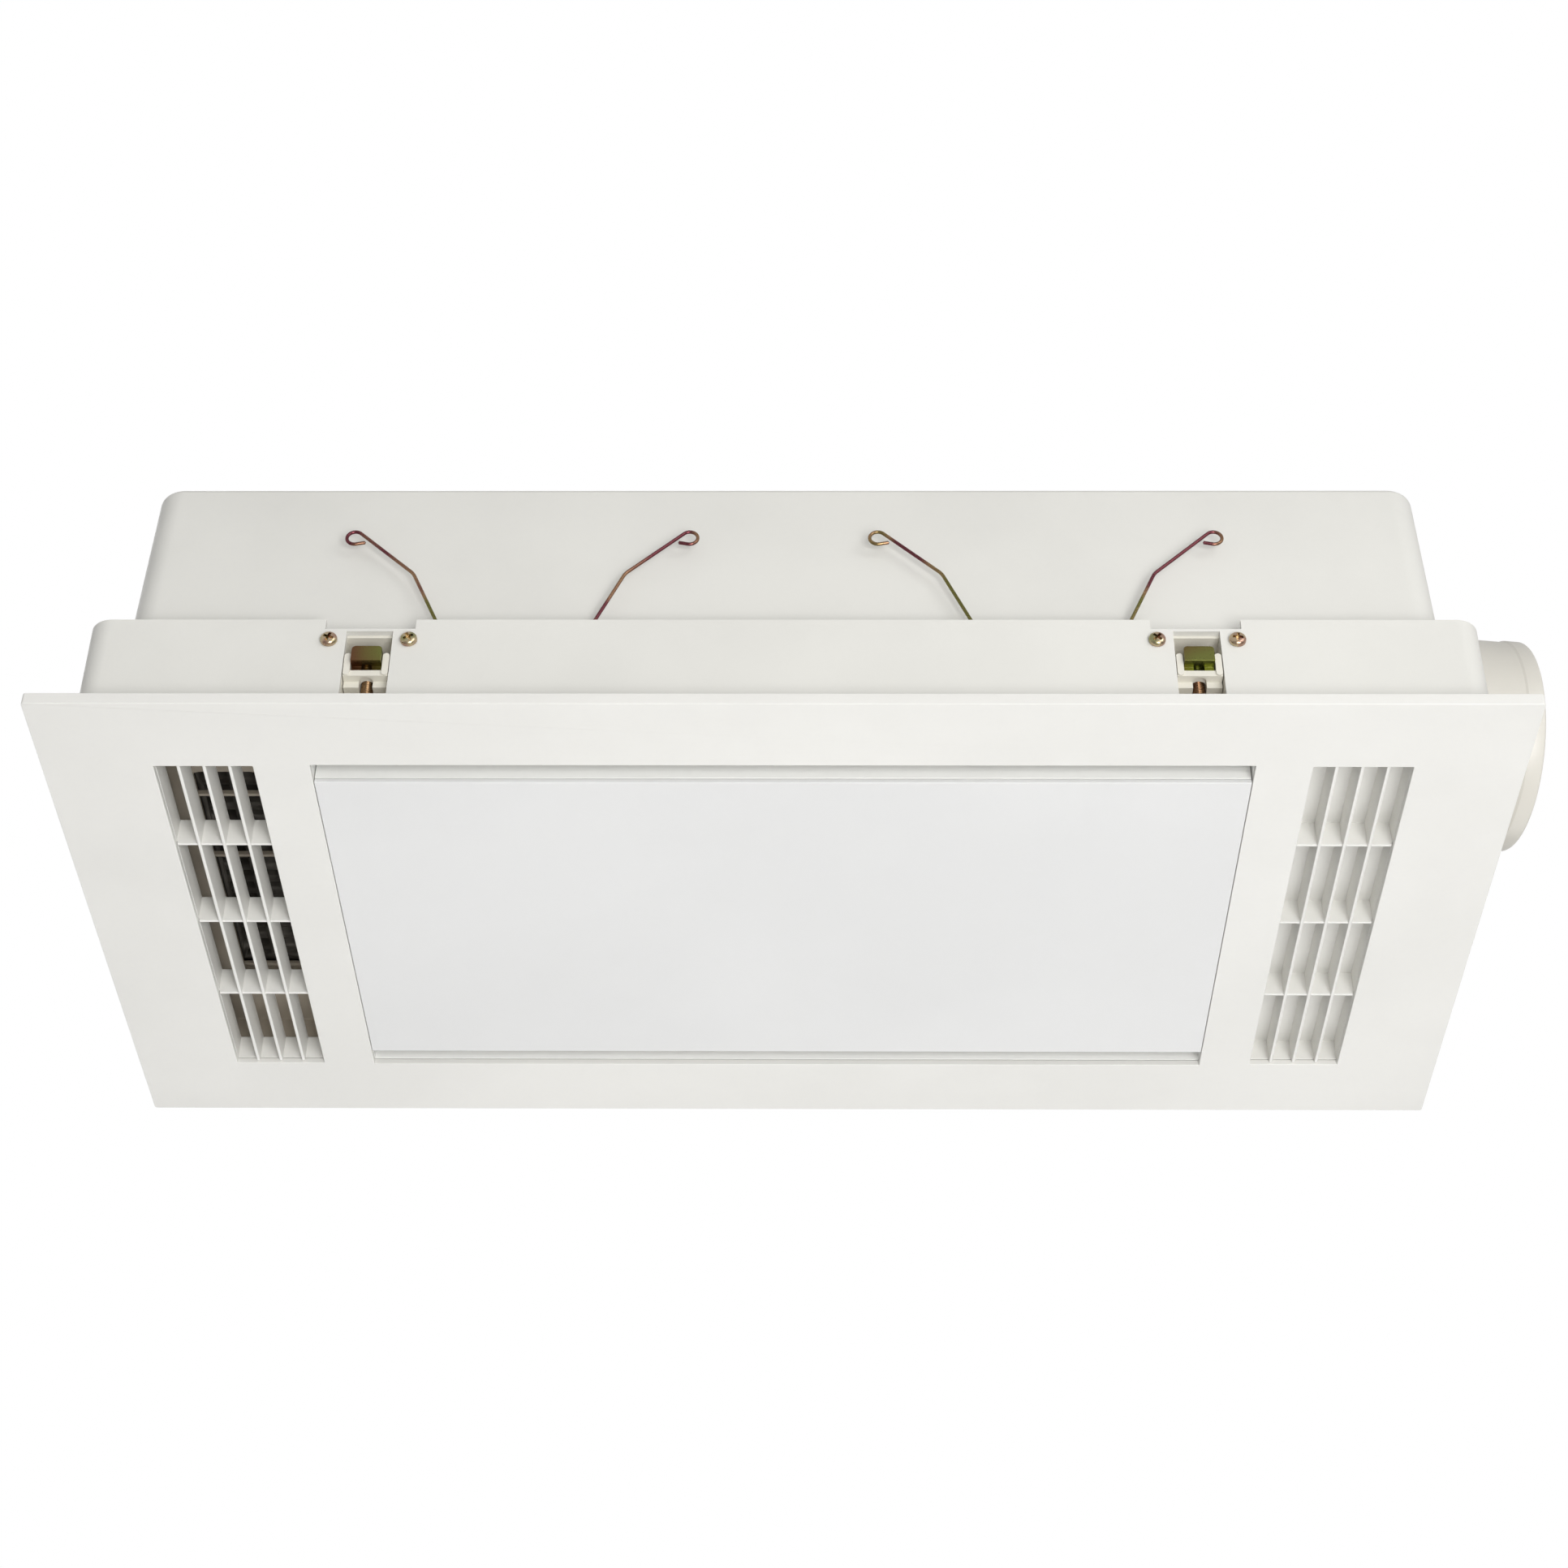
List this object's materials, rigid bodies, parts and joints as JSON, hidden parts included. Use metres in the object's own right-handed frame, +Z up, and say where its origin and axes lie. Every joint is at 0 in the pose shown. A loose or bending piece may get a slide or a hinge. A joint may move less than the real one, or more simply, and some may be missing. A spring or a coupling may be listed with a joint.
{
  "type": "bathroom exhaust fan heater",
  "caption": "Ceiling-mounted bathroom heater with exhaust fan and flat light panel, side duct spigot, screw clamps and spring-held faceplate.",
  "frame": {"origin": "centre of the visible face, level with its lower surface, where the ceiling grid holds it", "axes": "+X towards the duct spigot, +Y to the rear, +Z up into the ceiling"},
  "size_m": [0.6235, 0.3, 0.145],
  "materials": {
    "panel_plastic": "satin moulded",
    "casing_plastic": "satin moulded",
    "clamp_plastic": "satin moulded",
    "spigot_plastic": "moulded, warm white",
    "diffuser_plastic": "opal, satin",
    "yellow_zinc": "yellow zinc plated",
    "galvanised_steel": "galvanised",
    "fan_plastic": "moulded",
    "nozzle_plastic": "moulded",
    "heater_ceramic": "dark, fine fins",
    "cutout_plastic": "moulded",
    "motor_steel": "bare",
    "led_board_white": "white coated",
    "board_green": "coated",
    "box_plastic": "moulded",
    "terminal_plastic": "moulded",
    "gland_plastic": "moulded"
  },
  "bodies": {
    "housing": {"mounting_frame": "casing_plastic", "upper_housing": "casing_plastic", "clamp_guide_front_left": "clamp_plastic", "clamp_guide_front_right": "clamp_plastic", "clamp_guide_rear_left": "clamp_plastic", "clamp_guide_rear_right": "clamp_plastic", "guide_screw_front_left_a": "yellow_zinc", "guide_screw_front_left_b": "yellow_zinc", "guide_screw_front_right_a": "yellow_zinc", "guide_screw_front_right_b": "yellow_zinc", "guide_screw_rear_left_a": "yellow_zinc", "guide_screw_rear_left_b": "yellow_zinc", "guide_screw_rear_right_a": "yellow_zinc", "guide_screw_rear_right_b": "yellow_zinc", "duct_spigot": "spigot_plastic", "flap_pin": "galvanised_steel", "exhaust_blower_scroll": "galvanised_steel", "exhaust_blower_cover": "casing_plastic", "exhaust_blower_motor": "motor_steel", "warm_blower_scroll": "galvanised_steel", "warm_blower_cover": "casing_plastic", "warm_blower_motor": "motor_steel", "outlet_nozzle": "nozzle_plastic", "heater_frame": "nozzle_plastic", "heater_core": "heater_ceramic", "air_duct": "galvanised_steel", "thermal_cutout": "cutout_plastic", "control_box": "box_plastic", "control_box_lid": "box_plastic", "control_board": "board_green", "terminal_block": "terminal_plastic", "cable_gland": "gland_plastic"},
    "faceplate": {"face_panel": "panel_plastic", "light_collar": "panel_plastic", "outlet_grille": "panel_plastic", "intake_grille": "panel_plastic", "light_diffuser": "diffuser_plastic", "light_tray": "panel_plastic", "led_board": "led_board_white", "led_driver": "casing_plastic", "panel_spring_front_left": "yellow_zinc", "panel_spring_front_right": "yellow_zinc", "panel_spring_rear_left": "yellow_zinc", "panel_spring_rear_right": "yellow_zinc"},
    "claw_front_left": {"claw_carrier_front_left": "clamp_plastic", "clamp_claw_front_left": "yellow_zinc"},
    "screw_front_left": {"clamp_screw_front_left": "yellow_zinc"},
    "claw_front_right": {"claw_carrier_front_right": "clamp_plastic", "clamp_claw_front_right": "yellow_zinc"},
    "screw_front_right": {"clamp_screw_front_right": "yellow_zinc"},
    "claw_rear_left": {"claw_carrier_rear_left": "clamp_plastic", "clamp_claw_rear_left": "yellow_zinc"},
    "screw_rear_left": {"clamp_screw_rear_left": "yellow_zinc"},
    "claw_rear_right": {"claw_carrier_rear_right": "clamp_plastic", "clamp_claw_rear_right": "yellow_zinc"},
    "screw_rear_right": {"clamp_screw_rear_right": "yellow_zinc"},
    "flap_front": {"backdraft_flap_front": "spigot_plastic"},
    "flap_rear": {"backdraft_flap_rear": "spigot_plastic"},
    "exhaust_wheel": {"exhaust_blower_wheel": "fan_plastic"},
    "warm_wheel": {"warm_blower_wheel": "fan_plastic"}
  },
  "joints": [
    {"name": "faceplate_drop", "type": "slide", "parent": "housing", "child": "faceplate", "axis": [0, 0, -1], "range_m": [0, 0.065], "stiffness_N_per_m": 150, "springref_m": -0.25, "deforming": ["panel_spring_front_left", "panel_spring_front_right", "panel_spring_rear_left", "panel_spring_rear_right"]},
    {"name": "screw_turn_front_left", "type": "hinge", "parent": "housing", "child": "screw_front_left", "pos_m": [-0.1685, -0.1262, 0.009], "axis": [0, 0, 1], "range_deg": [0, 2520]},
    {"name": "claw_travel_front_left", "type": "slide", "parent": "housing", "child": "claw_front_left", "axis": [0, 0, -1], "range_m": [0, 0.007]},
    {"name": "screw_turn_front_right", "type": "hinge", "parent": "housing", "child": "screw_front_right", "pos_m": [0.1685, -0.1262, 0.009], "axis": [0, 0, 1], "range_deg": [0, 2520]},
    {"name": "claw_travel_front_right", "type": "slide", "parent": "housing", "child": "claw_front_right", "axis": [0, 0, -1], "range_m": [0, 0.007]},
    {"name": "screw_turn_rear_left", "type": "hinge", "parent": "housing", "child": "screw_rear_left", "pos_m": [-0.1685, 0.1262, 0.009], "axis": [0, 0, 1], "range_deg": [0, 2520]},
    {"name": "claw_travel_rear_left", "type": "slide", "parent": "housing", "child": "claw_rear_left", "axis": [0, 0, -1], "range_m": [0, 0.007]},
    {"name": "screw_turn_rear_right", "type": "hinge", "parent": "housing", "child": "screw_rear_right", "pos_m": [0.1685, 0.1262, 0.009], "axis": [0, 0, 1], "range_deg": [0, 2520]},
    {"name": "claw_travel_rear_right", "type": "slide", "parent": "housing", "child": "claw_rear_right", "axis": [0, 0, -1], "range_m": [0, 0.007]},
    {"name": "flap_swing_front", "type": "hinge", "parent": "housing", "child": "flap_front", "pos_m": [0.269, -0.03951, 0.0728], "axis": [0, 0, 1], "range_deg": [0, 75]},
    {"name": "flap_swing_rear", "type": "hinge", "parent": "housing", "child": "flap_rear", "pos_m": [0.269, -0.03951, 0.0728], "axis": [0, 0, -1], "range_deg": [0, 75]},
    {"name": "exhaust_wheel_spin", "type": "hinge", "parent": "housing", "child": "exhaust_wheel", "pos_m": [0.15998, 0.01802, 0.095], "axis": [0, 0, 1], "continuous": true},
    {"name": "warm_wheel_spin", "type": "hinge", "parent": "housing", "child": "warm_wheel", "pos_m": [-0.10401, -0.01802, 0.095], "axis": [0, 0, 1], "continuous": true}
  ],
  "couplings": [
    {"joint": "screw_turn_front_left", "follows": "claw_travel_front_left", "rad_per_m": 6283},
    {"joint": "screw_turn_front_right", "follows": "claw_travel_front_right", "rad_per_m": 6283},
    {"joint": "screw_turn_rear_left", "follows": "claw_travel_rear_left", "rad_per_m": 6283},
    {"joint": "screw_turn_rear_right", "follows": "claw_travel_rear_right", "rad_per_m": 6283}
  ]
}
